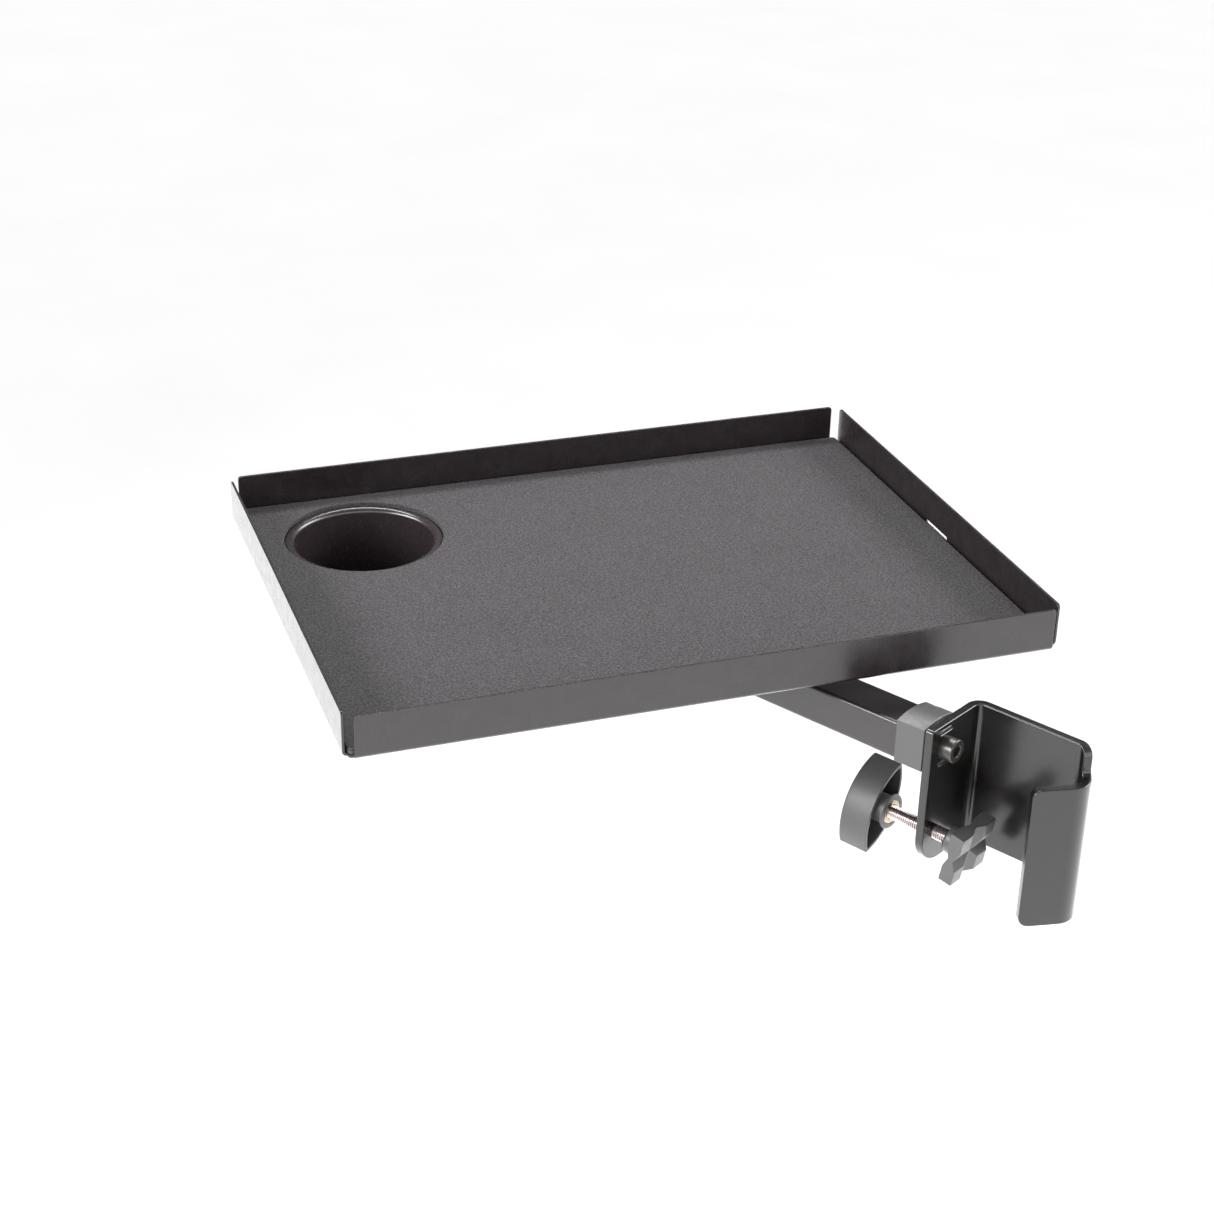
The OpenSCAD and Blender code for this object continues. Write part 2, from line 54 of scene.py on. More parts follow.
MM = 0.001
pan_lo, pan_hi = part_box("tray_pan")
PIVOT = Vector(((pan_lo.x + pan_hi.x) / 2, (pan_lo.y + pan_hi.y) / 2, pan_lo.z))
screw_axis = next(j["axis"] for j in frame["joints"] if j["name"] == "spindle_travel")
YAW = math.atan2(screw_axis[1], screw_axis[0])

# origin on the swivel axis at the tray's underside: tray axes, and arm axes with X to the clamp
TRAY = Matrix.Translation(PIVOT) @ Matrix.Scale(MM, 4)
ARM = Matrix.Translation(PIVOT) @ Matrix.Rotation(YAW, 4, "Z") @ Matrix.Scale(MM, 4)
SPINDLE_Z = -73.0
# lays a shape's Z along the arm's X
LIE = Matrix(((0, 0, 1, 0), (1, 0, 0, 0), (0, 1, 0, 0), (0, 0, 0, 1)))
SPINDLE = ARM @ Matrix.Translation((0, 0, SPINDLE_Z)) @ LIE

# ---------------------------------------------------------------- mesh tools


def fillet(corners, steps=5, closed=True):
    """Outline through the corners (x, y, radius), each one rounded by its radius.

    steps is how many edges a quarter turn gets."""
    out, n = [], len(corners)
    for i, (x, y, r) in enumerate(corners):
        p = Vector((x, y))
        if r <= 0 or (not closed and i in (0, n - 1)):
            out.append(p)
            continue
        a = (Vector(corners[i - 1][:2]) - p).normalized()
        b = (Vector(corners[(i + 1) % n][:2]) - p).normalized()
        half = a.angle(b) / 2
        centre = p + (a + b).normalized() * (r / math.sin(half))
        start = p + a * (r / math.tan(half)) - centre
        end = p + b * (r / math.tan(half)) - centre
        turn = math.copysign(math.pi - 2 * half, start.x * end.y - start.y * end.x)
        count = max(2, math.ceil(steps * abs(turn) / (math.pi / 2)))
        for k in range(count + 1):
            c, s = math.cos(turn * k / count), math.sin(turn * k / count)
            out.append(centre + Vector((c * start.x - s * start.y, s * start.x + c * start.y)))
    return out


def circle(r, n, x=0.0, y=0.0, start=0.0):
    """n points round a centre, anticlockwise."""
    return [
        Vector((x + r * math.cos(start + math.tau * k / n),
                y + r * math.sin(start + math.tau * k / n)))
        for k in range(n)
    ]


def inset(loop, d):
    """The closed loop moved to its left by d, which is inwards where it runs anticlockwise."""
    out = []
    for i, p in enumerate(loop):
        e0 = (p - loop[i - 1]).normalized()
        e1 = (loop[(i + 1) % len(loop)] - p).normalized()
        n0, n1 = Vector((-e0.y, e0.x)), Vector((-e1.y, e1.x))
        out.append(p + (n0 + n1) * (d / (1 + n0.dot(n1))))
    return out


def ring(bm, loop, z):
    return [bm.verts.new((p.x, p.y, z)) for p in loop]


def bridge(bm, a, b):
    for i in range(len(a)):
        j = (i + 1) % len(a)
        bm.faces.new((a[i], a[j], b[j], b[i]))


def edge_levels(thick, edge, steps=3):
    """(inset, height) from the bottom face to the top face of a plate with rounded edges."""
    quarter = [math.pi / 2 * k / steps for k in range(steps + 1)]
    low = [(edge * (1 - math.sin(a)), edge * (1 - math.cos(a))) for a in quarter]
    return low + [(d, thick - z) for d, z in reversed(low)]


def slab(loops, thick, edge, steps=3):
    """Plate with rounded edges. The outline runs anticlockwise and the holes clockwise."""
    bm = bmesh.new()
    low, high = [], []
    for loop in loops:
        rings = [ring(bm, inset(loop, d), z) for d, z in edge_levels(thick, edge, steps)]
        for a, b in zip(rings, rings[1:]):
            bridge(bm, a, b)
        low.append(rings[0])
        high.append(rings[-1])
    for face in (low, high):
        edges = [bm.edges.get((r[i - 1], r[i])) for r in face for i in range(len(r))]
        bmesh.ops.triangle_fill(bm, edges=edges, use_beauty=True)
    return bm


def cut(bm, axis, at):
    """New edges across the whole mesh where the coordinate equals at."""
    normal = [0.0, 0.0, 0.0]
    normal[axis] = 1.0
    bmesh.ops.bisect_plane(
        bm, geom=bm.verts[:] + bm.edges[:] + bm.faces[:], dist=1e-5,
        plane_co=[at * c for c in normal], plane_no=normal,
    )


def loft(loops, closed=False, caps=True):
    """Skin over loops of 3-D points with the same count. closed joins the last to the first."""
    bm = bmesh.new()
    rings = [[bm.verts.new(p) for p in loop] for loop in loops]
    for a, b in zip(rings, rings[1:] + rings[:1] if closed else rings[1:]):
        bridge(bm, a, b)
    if caps and not closed:
        bm.faces.new(rings[0])
        bm.faces.new(rings[-1])
    return bm


def lathe(profile, n=96, closed=True):
    """Turns (radius, height) points round Z. An open profile starts and ends on the axis."""
    bm = bmesh.new()
    rings = []
    for p in profile:
        if p[0] < 1e-6:
            rings.append([bm.verts.new((0, 0, p[1]))])
        else:
            rings.append(ring(bm, circle(p[0], n), p[1]))
    for a, b in zip(rings, rings[1:] + rings[:1] if closed else rings[1:]):
        if len(a) == 1 or len(b) == 1:
            tip, rim = (a[0], b) if len(a) == 1 else (b[0], a)
            for i in range(n):
                bm.faces.new((tip, rim[i - 1], rim[i]))
        else:
            bridge(bm, a, b)
    return bm


def hexagon(af, n, start=0.0):
    """n points on a hexagon, with a corner at the start angle."""
    out = []
    for k in range(n):
        a = math.tau * k / n
        r = af / 2 / math.cos(a % (math.pi / 3) - math.pi / 6)
        out.append(Vector((r * math.cos(a + start), r * math.sin(a + start))))
    return out


def at_z(loop, z):
    return [(p.x, p.y, z) for p in loop]


def hex_body(af, z0, z1, low_chamfer=True, n=72, start=0.0):
    """Loops of a hexagon from z0 to z1, its corners cut back by a 30 degree cone at each end."""
    outline = hexagon(af, n, start)
    face_r = 0.475 * af
    drops = [(p.length - face_r) * math.tan(math.radians(30)) for p in outline]
    face = circle(face_r, n, start=start)
    low = [at_z(face, z0)] if low_chamfer else []
    low.append([(p.x, p.y, z0 + (d if low_chamfer else 0)) for p, d in zip(outline, drops)])
    return low + [[(p.x, p.y, z1 - d) for p, d in zip(outline, drops)], at_z(face, z1)]


def thread(r, pitch, z0, z1, n=40, chamfer=0.0):
    """Right-hand screw thread round Z from z0 to z1, each end cut square, with a chamfer."""
    root = r - 0.66 * pitch
    # profile of one turn: place along the axis, in pitches, and radius
    rows = [(-0.1, r - 0.06), (-0.05, r), (0.05, r), (0.1, r - 0.06),
            (0.36, root + 0.05), (0.43, root), (0.57, root), (0.64, root + 0.05)]
    turns = math.ceil((z1 - z0) / pitch) + 3
    bm = bmesh.new()
    made = []
    for j in range(turns * len(rows)):
        turn, k = divmod(j, len(rows))
        base = z0 + (turn - 1.5 + rows[k][0]) * pitch
        line = []
        for i in range(n):
            z = base + pitch * i / n
            room = min(z - z0, z1 - z)
            radius = min(rows[k][1], r - chamfer + max(room, 0)) if chamfer else rows[k][1]
            a = math.tau * i / n
            line.append(bm.verts.new((radius * math.cos(a), radius * math.sin(a), z)))
        made.append(line)
    for j in range(len(made) - 1):
        for i in range(n - 1):
            bm.faces.new((made[j][i], made[j][i + 1], made[j + 1][i + 1], made[j + 1][i]))
        k = j + len(rows)
        if k + 1 < len(made):
            bm.faces.new((made[j][n - 1], made[k][0], made[k + 1][0], made[j + 1][n - 1]))
    for z, side in ((z0, -1), (z1, 1)):
        bmesh.ops.bisect_plane(
            bm, geom=bm.verts[:] + bm.edges[:] + bm.faces[:], dist=1e-6,
            plane_co=(0, 0, z), plane_no=(0, 0, side), clear_outer=True,
        )
    bmesh.ops.holes_fill(bm, edges=[e for e in bm.edges if e.is_boundary], sides=0)
    return bm


def move(bm, matrix):
    bm.transform(matrix)
    return bm


def join(*parts):
    """One mesh of several."""
    out = parts[0]
    for bm in parts[1:]:
        mesh = bpy.data.meshes.new("part")
        bm.to_mesh(mesh)
        bm.free()
        out.from_mesh(mesh)
        bpy.data.meshes.remove(mesh)
    return out


def piece(name, bm, place, body, slot, nodes, sharp=38, bevel=None, weighted=True):
    """Makes the mesh an object in the part's frame that rides on a body and replaces CAD nodes.

    sharp is the angle in degrees from which an edge stays sharp, and bevel is its rounding:
    (width, segments, smallest angle). The material has the name of its slot."""
    bmesh.ops.recalc_face_normals(bm, faces=bm.faces[:])
    bm.transform(place)
    mesh = bpy.data.meshes.new(name)
    bm.to_mesh(mesh)
    bm.free()
    mesh.shade_smooth()
    mesh.set_sharp_from_angle(angle=math.radians(sharp))
    mesh.materials.append(materials[slot])
    obj = bpy.data.objects.new(name, mesh)
    bpy.context.scene.collection.objects.link(obj)
    if bevel:
        width, segments, angle = bevel
        mod = obj.modifiers.new("edges", "BEVEL")
        mod.width, mod.segments = width * MM, segments
        mod.limit_method, mod.angle_limit = "ANGLE", math.radians(angle)
        mod.use_clamp_overlap = True
    if weighted:
        mod = obj.modifiers.new("normals", "WEIGHTED_NORMAL")
        mod.keep_sharp = True
        mod.weight = 100
    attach(obj, body)
    if nodes:
        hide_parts(*nodes)


# ---------------------------------------------------------------- materials

materials = {}  # finished materials, by slot name


class Surface:
    """A Principled material with a chain of bumps, in the piece's own coordinates, in metres."""

    def __init__(self, name, color, roughness, metallic=0.0, specular=0.5):
        self.name = name
        self.mat = bpy.data.materials.new(name)
        self.mat.use_nodes = True
        self.tree = self.mat.node_tree
        self.bsdf = next(n for n in self.tree.nodes if n.type == "BSDF_PRINCIPLED")
        self.set("Base Color", (*color, 1))
        self.set("Roughness", roughness)
        self.set("Metallic", metallic)
        self.set("Specular IOR Level", specular)
        self.coords = self.tree.nodes.new("ShaderNodeTexCoord").outputs["Object"]
        self.normal = None
        self.mat.diffuse_color = (*color, 1)

    def set(self, socket, value):
        self.bsdf.inputs[socket].default_value = value

    def node(self, kind, **values):
        n = self.tree.nodes.new(kind)
        for key, value in values.items():
            if hasattr(n, key):
                setattr(n, key, value)
            else:
                n.inputs[key.replace("_", " ")].default_value = value
        return n

    def link(self, a, b):
        self.tree.links.new(a, b)

    def noise(self, size_mm, detail=2.0, roughness=0.5):
        n = self.node(
            "ShaderNodeTexNoise", Scale=1 / (size_mm * MM), Detail=detail, Roughness=roughness
        )
        self.link(self.coords, n.inputs["Vector"])
        return n.outputs["Fac"]

    def cells(self, size_mm):
        """Distance to the nearest of many scattered points."""
        n = self.node("ShaderNodeTexVoronoi", feature="F1", Scale=1 / (size_mm * MM))
        self.link(self.coords, n.inputs["Vector"])
        return n.outputs["Distance"]

    def remap(self, value, lo, hi, out_lo, out_hi):
        """Maps lo to hi onto out_lo to out_hi."""
        n = self.node("ShaderNodeMapRange")
        for key, v in zip(("From Min", "From Max", "To Min", "To Max"), (lo, hi, out_lo, out_hi)):
            n.inputs[key].default_value = v
        self.link(value, n.inputs["Value"])
        return n.outputs["Result"]

    def mix(self, fac, a, b):
        """Colour from a to b. Each argument is an output or a constant."""
        n = self.node("ShaderNodeMix", data_type="RGBA")
        for key, v in (("Factor", fac), ("A", a), ("B", b)):
            socket = next(s for s in n.inputs if s.name == key and s.type in ("RGBA", "VALUE")
                          and (s.type == "RGBA") == (key != "Factor"))
            if hasattr(v, "links"):
                self.link(v, socket)
            else:
                socket.default_value = v
        return next(s for s in n.outputs if s.type == "RGBA")

    def bump(self, height, strength, distance_mm):
        """Adds a bump on top of those made before."""
        n = self.node("ShaderNodeBump", Strength=strength, Distance=distance_mm * MM)
        self.link(height, n.inputs["Height"])
        if self.normal is not None:
            self.link(self.normal, n.inputs["Normal"])
        self.normal = n.outputs["Normal"]

    def color(self, output):
        self.link(output, self.bsdf.inputs["Base Color"])

    def rough(self, output):
        self.link(output, self.bsdf.inputs["Roughness"])

    def done(self):
        if self.normal is not None:
            self.link(self.normal, self.bsdf.inputs["Normal"])
        materials[self.name] = self.mat


NEUTRAL = (1.0, 1.0, 1.0)
PLUM = (1.25, 0.92, 1.0)
BROWN = (1.12, 0.98, 0.9)


def grey(v, tint=NEUTRAL):
    return tuple(v * t for t in tint)


def powder_coat(name, value, roughness, tint, peel):
    """Satin powder coat: orange peel at two scales, a slight mottle and fine specks.

    peel is the strength of the orange peel."""
    s = Surface(name, grey(value, tint), roughness)
    mottle = s.remap(s.noise(9, 3), 0.3, 0.7, 0, 1)
    base = s.mix(mottle, (*grey(value * 0.8, tint), 1), (*grey(value * 1.2, tint), 1))
    specks = s.remap(s.cells(1.1), 0.03, 0.10, 1.0, 0.0)
    s.color(s.mix(specks, base, (*grey(value * 1.4, tint), 1)))
    s.rough(s.remap(s.noise(6, 3), 0.3, 0.7, roughness - 0.02, roughness + 0.03))
    s.bump(s.noise(2.2, 2), 0.10 * peel, 0.10)
    s.bump(s.noise(0.5, 2), 0.04 * peel, 0.05)
    s.done()


def moulded(name, value, roughness, tint, grain, depth):
    """Moulded plastic with a spark-eroded grain, its size in millimetres and its strength."""
    s = Surface(name, grey(value, tint), roughness)
    fine = s.noise(grain, 3, 0.6)
    grains = s.remap(fine, 0.35, 0.7, 0, 1)
    s.color(s.mix(grains, (*grey(value * 0.8, tint), 1), (*grey(value * 1.3, tint), 1)))
    s.rough(s.remap(s.noise(3, 3), 0.3, 0.7, roughness - 0.05, roughness + 0.05))
    s.bump(fine, depth, 0.06)
    s.bump(s.noise(12, 1), 0.05, 0.3)
    s.done()


def plated(name, color, roughness):
    """Plated steel: fine marks, a cloudy tint and uneven gloss."""
    s = Surface(name, color, roughness, metallic=1.0)
    cloud = s.remap(s.noise(3.5, 3), 0.3, 0.7, 0, 1)
    dark = tuple(c * 0.78 for c in color)
    s.color(s.mix(cloud, (*dark, 1), (*color, 1)))
    s.rough(s.remap(s.noise(0.8, 4), 0.3, 0.7, roughness - 0.06, roughness + 0.1))
    s.bump(s.noise(0.25, 3), 0.3, 0.02)
    s.done()


def mat_foam(name, value, tint=(1.03, 0.98, 1.03)):
    """Grained rubbery mat: a dense speckle of lighter and darker grains, and dusty clouds."""
    s = Surface(name, grey(value, tint), 0.85, specular=0.2)
    grain = s.noise(1.2, 4, 0.8)
    clouds = s.remap(s.noise(35, 4, 0.6), 0.35, 0.65, 0, 1)
    base = s.mix(clouds, (*grey(value * 0.82, tint), 1), (*grey(value * 1.12, tint), 1))
    dark, light = (*grey(value * 0.25, tint), 1), (*grey(value * 2.0, tint), 1)
    speck = s.mix(s.remap(grain, 0.38, 0.62, 0, 1), dark, light)
    dust = s.remap(s.cells(1.5), 0.08, 0.2, 1.0, 0.0)
    both = s.mix(0.75, base, speck)
    s.color(s.mix(dust, both, (*grey(value * 3), 1)))
    s.bump(grain, 0.5, 0.25)
    s.bump(s.noise(2.2, 2), 0.25, 0.25)
    s.done()


powder_coat("powder_coat_tray", 0.007, 0.26, PLUM, 0.12)
mat_foam("mat_grain", 0.031)
moulded("cup_plastic", 0.011, 0.24, PLUM, 0.4, 0.015)
powder_coat("powder_coat_arm", 0.007, 0.30, PLUM, 0.3)
powder_coat("powder_coat_hook", 0.003, 0.22, BROWN, 0.25)
moulded("collar_plastic", 0.034, 0.42, NEUTRAL, 0.3, 0.3)
moulded("knob_plastic", 0.036, 0.45, NEUTRAL, 0.35, 0.45)
moulded("pad_plastic", 0.036, 0.42, NEUTRAL, 0.4, 0.35)
moulded("cap_plastic", 0.012, 0.5, NEUTRAL, 0.4, 0.4)
moulded("nylon", 0.62, 0.45, (1.05, 1.0, 0.95), 0.8, 0.2)
moulded("blue_nylon", 0.10, 0.4, (0.4, 1.0, 1.6), 0.8, 0.2)
plated("zinc", (0.50, 0.44, 0.44), 0.2)
plated("yellow_zinc", (0.34, 0.29, 0.20), 0.28)
powder_coat("black_oxide", 0.012, 0.30, BROWN, 0.4)
plated("raw_steel", (0.42, 0.42, 0.44), 0.35)

# ---------------------------------------------------------------- tray

W, D, H, SHEET = 400.0, 300.0, 25.0, 1.5
FOLD_IN, FOLD_OUT = 1.0, 2.5
CORNER_GAP = 5.2
FLANGE_R = 2.0  # top corners of a flange
TIP_R = 2.0  # corners of the floor
NOTCH_R = 0.3  # inner corners between floor and flange
FOLD_CUTS = 8
ARC = (FOLD_IN + SHEET / 2) * math.pi / 2  # flat length that the fold takes up
RISE = ARC + H - FOLD_OUT  # flat length of a flange past the start of its fold
FLOOR_X, FLOOR_Y = W / 2 - FOLD_OUT, D / 2 - FOLD_OUT  # where the folds start
CUP = Vector((-132.0, 90.0))
CUP_HOLE_R = 43.0


def tray_outline():
    """Flat outline of the tray, one strip for each flange, with the floor's corners between."""
    sx, sy = W / 2 - CORNER_GAP, D / 2 - CORNER_GAP
    corner = []
    for cx, cy in ((1, 1), (-1, 1), (-1, -1), (1, -1)):
        by_x = [(cx * (FLOOR_X + RISE), cy * sy, FLANGE_R), (cx * FLOOR_X, cy * sy, NOTCH_R)]
        by_y = [(cx * sx, cy * FLOOR_Y, NOTCH_R), (cx * sx, cy * (FLOOR_Y + RISE), FLANGE_R)]
        tip = [(cx * FLOOR_X, cy * FLOOR_Y, TIP_R)]
        corner += by_x + tip + by_y if cx * cy > 0 else by_y[::-1] + tip + by_x[::-1]
    return fillet(corner)


def fold_up(x, limit):
    """How far the sheet has turned and risen at x, where its fold starts at limit."""
    s = abs(x) - limit
    return max(0.0, min(s, ARC)) / (ARC / (math.pi / 2)), max(0.0, s - ARC)


def fold_tray(bm):
    """Folds up the flanges of the flat sheet."""
    folds = ((0, FLOOR_X), (1, FLOOR_Y))
    for axis, limit in folds:
        for side in (-1, 1):
            for k in range(FOLD_CUTS + 1):
                cut(bm, axis, side * (limit + ARC * k / FOLD_CUTS))
    for v in bm.verts:
        for axis, limit in folds:
            angle, rise = fold_up(v.co[axis], limit)
            if angle > 0:
                radius = FOLD_OUT - v.co.z
                v.co[axis] = math.copysign(limit + radius * math.sin(angle), v.co[axis])
                v.co.z = FOLD_OUT - radius * math.cos(angle) + rise
                break
    return bm


def slot_outline(cx, cy, w, h):
    """Clockwise outline of a slot whose short sides are half circles."""
    r = 0.999 * min(w, h) / 2
    x, y = w / 2, h / 2
    loop = fillet([(cx - x, cy - y, r), (cx + x, cy - y, r),
                   (cx + x, cy + y, r), (cx - x, cy + y, r)], 8)
    return loop[::-1]


SLOT_FOOT, SLOT_TOP = ARC + 0.2, ARC + 2.7  # the slot's edges, as flat lengths past the fold line
SLOT_L = 28.0
pan = slab(
    [
        tray_outline(),
        circle(CUP_HOLE_R, 96, CUP.x, CUP.y)[::-1],
        slot_outline(FLOOR_X + (SLOT_FOOT + SLOT_TOP) / 2, 0, SLOT_TOP - SLOT_FOOT, SLOT_L),
    ],
    SHEET, edge=0.3,
)
piece("tray_pan_sheet", fold_tray(pan), TRAY, "tray", "powder_coat_tray", ["tray_pan"])

MAT_GAP = FOLD_OUT + 0.2
MAT_X, MAT_Y, MAT_T = W / 2 - MAT_GAP, D / 2 - MAT_GAP, 3.0
MAT_R = 3.0
MAT_HOLE_R = 47.0
mat = slab(
    [
        fillet([(-MAT_X, -MAT_Y, MAT_R), (MAT_X, -MAT_Y, MAT_R),
                (MAT_X, MAT_Y, MAT_R), (-MAT_X, MAT_Y, MAT_R)]),
        circle(MAT_HOLE_R, 128, CUP.x, CUP.y)[::-1],
    ],
    MAT_T, edge=0.5,
)
piece(
    "tray_mat_sheet", move(mat, Matrix.Translation((0, 0, SHEET))), TRAY, "tray", "mat_grain",
    ["tray_mat"],
)

CUP_MOUTH, CUP_FOOT, CUP_WALL = 41.0, 36.5, 1.8  # radii at the mouth and at the foot
CUP_LOW, CUP_TOP, CUP_RIM = -58.0, 2.6, 46.0
cup_profile = fillet(
    [
        (0.0, CUP_LOW, 0), (CUP_FOOT, CUP_LOW, 2.5), (CUP_MOUTH + 1.6, SHEET, 0.2),
        (CUP_RIM, SHEET, 0.3), (CUP_RIM, CUP_TOP, 0.4), (CUP_MOUTH + 0.34, CUP_TOP, 3.0),
        (CUP_FOOT - CUP_WALL, CUP_LOW + CUP_WALL, 3.0), (0.0, CUP_LOW + CUP_WALL, 0),
    ],
    6, closed=False,
)
cup = move(lathe(cup_profile, 128, closed=False), Matrix.Translation((CUP.x, CUP.y, 0)))
piece("cup_well", cup, TRAY, "cup", "cup_plastic", ["cup_insert"])

# ---------------------------------------------------------------- swivel, under the tray

PIVOT_R, PIVOT_HOLE_R = 4.0, 4.1
M8_PITCH, M8_AF = 1.25, 13.0
STUD_RING, STUD_R, STUD_TIP = 37.0, 2.5, -8.0
M5_PITCH, M5_AF, M5_BORE = 0.8, 8.0, 2.45
PLATE = 2.0  # thickness of the dished plate
PLATE_R = 46.0
DISH = -6.8  # underside of the dish
ARM_TOP = -9.3
FOOT = -31.3  # underside of the arm's tube
FLANGE = 1.0  # flanges of the arm's bushes
THRUST_TOP = FOOT - FLANGE
THRUST_LOW = THRUST_TOP - 1.6


def at_studs(make):
    """Four copies round the swivel axis."""
    parts = []
    for k in range(4):
        a = math.radians(45 + 90 * k)
        spot = (STUD_RING * math.cos(a), STUD_RING * math.sin(a), 0)
        parts.append(move(make(), Matrix.Translation(spot)))
    return join(*parts)


def stud():
    return thread(STUD_R, M5_PITCH, STUD_TIP, -0.2, 24, 0.5)


swivel_profile = fillet(
    [
        (PIVOT_HOLE_R, DISH, 0.2), (25.0, DISH, 2.2), (25.6, -PLATE, 1.2), (PLATE_R, -PLATE, 0.6),
        (PLATE_R, 0.0, 0.4), (23.4, 0.0, 1.2), (23.0, DISH + PLATE, 1.0),
        (PIVOT_HOLE_R, DISH + PLATE, 0.2),
    ]
)
piece("swivel_dish", lathe(swivel_profile, 128), TRAY, "tray", "powder_coat_arm", ["swivel_plate"])
piece("stud_threads", at_studs(stud), TRAY, "tray", "zinc", ["plate_studs"], weighted=False)


def flange_nut():
    """Hexagon nut with a round flange against the plate."""
    z0, z1 = -PLATE - 4.7, -PLATE
    flange_r, mouth_r = 5.9, 2.9
    n = 72
    loops = [at_z(circle(mouth_r, n), z0)] + hex_body(M5_AF, z0, z1 - 1.0)[:2]
    loops += [
        at_z(hexagon(M5_AF, n), z1 - 1.1), at_z(circle(5.0, n), z1 - 1.0),
        at_z(circle(flange_r, n), z1 - 0.7), at_z(circle(flange_r, n), z1),
        at_z(circle(mouth_r, n), z1), at_z(circle(M5_BORE, n), z1 - 0.5),
        at_z(circle(M5_BORE, n), z0 + 0.5),
    ]
    return loft(loops, closed=True)


piece("flange_nuts", at_studs(flange_nut), TRAY, "tray", "zinc", ["plate_nuts"])

PIVOT_TIP, SHANK_END = -45.3, -24.0
SINK = 0.1  # how far joined solids run into each other
HEAD_LOW = DISH + PLATE
bolt_head = loft(hex_body(M8_AF, HEAD_LOW, -0.3, low_chamfer=False))
bolt_shank = lathe(
    [
        (0.0, SHANK_END), (PIVOT_R, SHANK_END), (PIVOT_R, HEAD_LOW + SINK),
        (0.0, HEAD_LOW + SINK),
    ],
    48, closed=False,
)
bolt_thread = thread(PIVOT_R, M8_PITCH, PIVOT_TIP, SHANK_END + SINK, 40, 0.8)
piece(
    "swivel_bolt", join(bolt_head, bolt_shank, bolt_thread), TRAY, "tray", "zinc", ["pivot_bolt"],
    weighted=False,
)


def washer(name, r_out, z0, z1, soft, slot, nodes):
    """Flat washer on the pivot bolt, its edges rounded by soft."""
    r_in = PIVOT_HOLE_R
    profile = fillet([(r_in, z0, soft), (r_out, z0, soft), (r_out, z1, soft), (r_in, z1, soft)], 3)
    piece(name, lathe(profile, 96), TRAY, "tray", slot, nodes)


washer("friction_washer", 24.0, ARM_TOP + FLANGE, DISH, 0.3, "nylon", ["friction_disc"])
washer("thrust_ring", 12.0, THRUST_LOW, THRUST_TOP, 0.25, "zinc", ["thrust_washer"])
SPRING_H, SPRING_T = 1.2, 0.9


def disc_spring(z, up):
    """Conical washer with its top at z, its wide edge at the bottom, or at the top if up."""
    pts = [(4.2, 0.0, 0.2), (9.0, SPRING_T - SPRING_H, 0.2), (9.0, -SPRING_H, 0.2),
           (4.2, -SPRING_T, 0.2)]
    if up:
        pts = [(x, -SPRING_H - y, r) for x, y, r in pts][::-1]
    return move(lathe(fillet(pts, 3), 96), Matrix.Translation((0, 0, z)))


springs = join(disc_spring(THRUST_LOW, False), disc_spring(THRUST_LOW - SPRING_H, True))
piece("spring_washers", springs, TRAY, "tray", "black_oxide", ["disc_springs"])

NUT_TOP, NUT_H, RING_H = THRUST_LOW - 2 * SPRING_H, 6.5, 1.5
NUT_LOW = NUT_TOP - NUT_H
RING_LOW = NUT_LOW - RING_H
nut_loops = hex_body(M8_AF, NUT_LOW, NUT_TOP) + [
    at_z(circle(PIVOT_R + 0.5, 72), NUT_TOP), at_z(circle(PIVOT_R, 72), NUT_TOP - 0.5),
    at_z(circle(PIVOT_R, 72), NUT_LOW),
]
piece("locking_nut", loft(nut_loops, closed=True), TRAY, "tray", "zinc", ["lock_nut"])
ring_profile = fillet(
    [
        (PIVOT_R, RING_LOW, 0.2), (5.4, RING_LOW, 0.6), (6.0, NUT_LOW, 0.2),
        (PIVOT_R, NUT_LOW, 0.1),
    ],
    4,
)
piece("locking_ring", lathe(ring_profile, 72), TRAY, "tray", "blue_nylon", ["lock_ring"])

# ---------------------------------------------------------------- arm

ARM_L, ARM_W, ARM_H, ARM_T = 218.6, 25.0, 22.0, 2.0
ARM_R = 2.0
ARM_BACK = -22.0
ARM_MID = ARM_TOP - ARM_H / 2
TUBE_END = ARM_L - 2.0


def along_x(bm):
    """A shape drawn in XY and pulled along Z, stood in YZ and pulled along X."""
    return move(bm, LIE)


def box_loop(w, h, r, steps=4):
    """Rectangle about the origin with round corners."""
    x, y = w / 2, h / 2
    return fillet([(-x, -y, r), (x, -y, r), (x, y, r), (-x, y, r)], steps)


def shift(loop, x=0.0, y=0.0):
    return [p + Vector((x, y)) for p in loop]


tube_out = shift(box_loop(ARM_W, ARM_H, ARM_R), 0, ARM_MID)
tube_in = shift(box_loop(ARM_W - 2 * ARM_T, ARM_H - 2 * ARM_T, 0.6), 0, ARM_MID)
tube = loft(
    [
        at_z(tube_out, ARM_BACK), at_z(tube_out, TUBE_END), at_z(tube_in, TUBE_END),
        at_z(tube_in, ARM_BACK),
    ],
    closed=True,
)
piece("arm_profile", along_x(tube), ARM, "mount_arm", "powder_coat_arm", ["arm_tube"])

CAP_T, CAP_L, CAP_EDGE = 2.0, 8.0, 1.2
cap_loops = [at_z(inset(tube_out, 1.9), ARM_BACK - CAP_T)]
for d, z in edge_levels(CAP_T, CAP_EDGE, 4)[:5]:
    cap_loops.append(at_z(inset(tube_out, d), ARM_BACK - CAP_T + z))
cap_loops += [at_z(tube_out, ARM_BACK), at_z(tube_in, ARM_BACK)]
cap_loops += [at_z(tube_in, ARM_BACK + CAP_L - 1.0), at_z(inset(tube_in, 0.5), ARM_BACK + CAP_L)]
piece("tube_end_cap", along_x(loft(cap_loops)), ARM, "mount_arm", "cap_plastic", ["tube_cap"])

BUSH_BORE, BUSH_R, BUSH_FLANGE_R, BUSH_L = 4.05, 6.0, 12.0, 4.0


